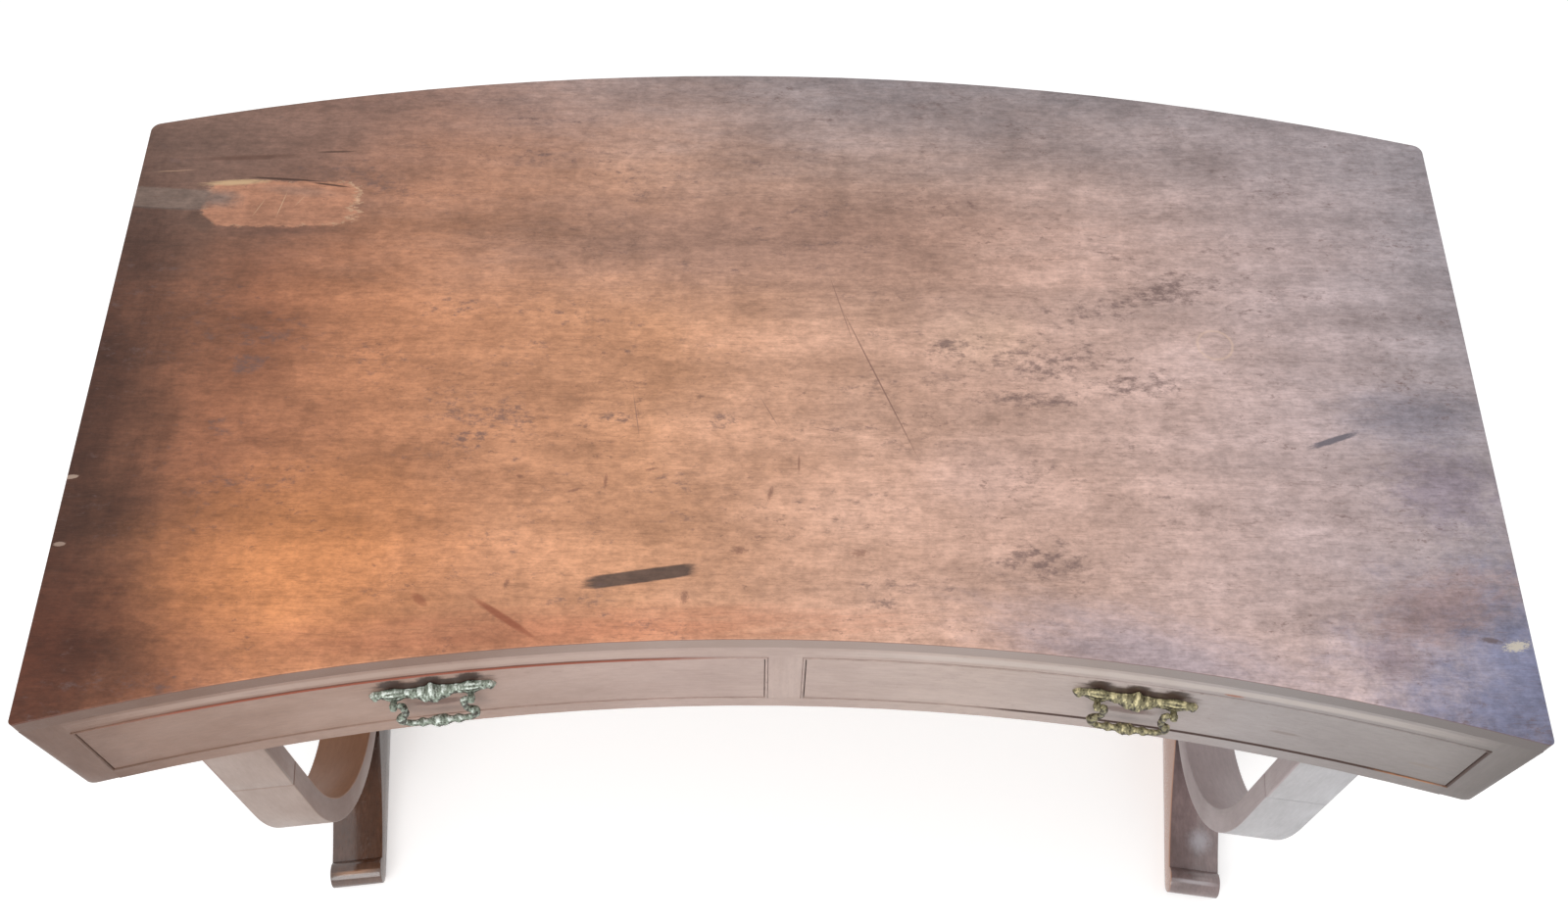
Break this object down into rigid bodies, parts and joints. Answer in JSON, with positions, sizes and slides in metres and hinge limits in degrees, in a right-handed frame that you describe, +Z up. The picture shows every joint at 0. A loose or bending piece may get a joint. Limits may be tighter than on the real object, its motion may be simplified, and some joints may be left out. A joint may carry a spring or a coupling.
{
  "type": "writing desk",
  "caption": "Mahogany writing desk with a concave front, cock-beaded frieze drawers with brass bail pulls, and U-shaped trestle legs on scroll-toed runners.",
  "frame": {"origin": "on the floor, under the middle of the desk's box", "axes": "+Z up, -Y towards the sitter on the concave side, +X to the sitter's right"},
  "size_m": [1.5806, 0.8917, 0.762],
  "materials": {
    "mahogany": "old polish, worn",
    "secondary_wood": "bare, aged",
    "brass": "aged with verdigris",
    "steel": "plain"
  },
  "bodies": {
    "desk": {"top_board": "mahogany", "end_panel_left": "mahogany", "end_stile_left": "mahogany", "end_panel_right": "mahogany", "end_stile_right": "mahogany", "rear_apron": "mahogany", "front_upper_rail": "mahogany", "front_lower_rail": "mahogany", "centre_post": "mahogany", "runner_left": "secondary_wood", "guide_left": "secondary_wood", "kicker_left": "secondary_wood", "runner_right": "secondary_wood", "guide_right": "secondary_wood", "kicker_right": "secondary_wood", "runner_centre": "secondary_wood", "guide_centre": "secondary_wood", "kicker_centre": "secondary_wood", "drawer_stops": "secondary_wood", "yoke_left": "mahogany", "trestle_base_left": "mahogany", "front_arm_left": "mahogany", "back_arm_left": "mahogany", "arm_dowels_left": "secondary_wood", "base_bolts_left": "steel", "arm_screws_left": "steel", "leg_bearer_left": "secondary_wood", "yoke_right": "mahogany", "trestle_base_right": "mahogany", "front_arm_right": "mahogany", "back_arm_right": "mahogany", "arm_dowels_right": "secondary_wood", "base_bolts_right": "steel", "arm_screws_right": "steel", "leg_bearer_right": "secondary_wood"},
    "left_drawer": {"left_drawer_front": "mahogany", "left_drawer_bead": "mahogany", "left_drawer_inner_side": "secondary_wood", "left_drawer_outer_side": "secondary_wood", "left_drawer_back": "secondary_wood", "left_drawer_bottom": "secondary_wood", "left_pull_plate": "brass", "left_pull_posts": "brass", "left_pull_nuts": "brass"},
    "right_drawer": {"right_drawer_front": "mahogany", "right_drawer_bead": "mahogany", "right_drawer_inner_side": "secondary_wood", "right_drawer_outer_side": "secondary_wood", "right_drawer_back": "secondary_wood", "right_drawer_bottom": "secondary_wood", "right_pull_plate": "brass", "right_pull_posts": "brass", "right_pull_nuts": "brass"},
    "left_bail": {"left_pull_bail": "brass"},
    "right_bail": {"right_pull_bail": "brass"}
  },
  "joints": [
    {"name": "left_drawer_slide", "type": "slide", "parent": "desk", "child": "left_drawer", "axis": [0, -1, 0], "range_m": [0, 0.38]},
    {"name": "right_drawer_slide", "type": "slide", "parent": "desk", "child": "right_drawer", "axis": [0, -1, 0], "range_m": [0, 0.38]},
    {"name": "left_bail_swing", "type": "hinge", "parent": "left_drawer", "child": "left_bail", "pos_m": [-0.35914, -0.38465, 0.684], "axis": [-0.9913, -0.1318, 0], "range_deg": [0, 90]},
    {"name": "right_bail_swing", "type": "hinge", "parent": "right_drawer", "child": "right_bail", "pos_m": [0.35914, -0.38465, 0.684], "axis": [-0.9913, 0.1318, 0], "range_deg": [0, 90]}
  ]
}
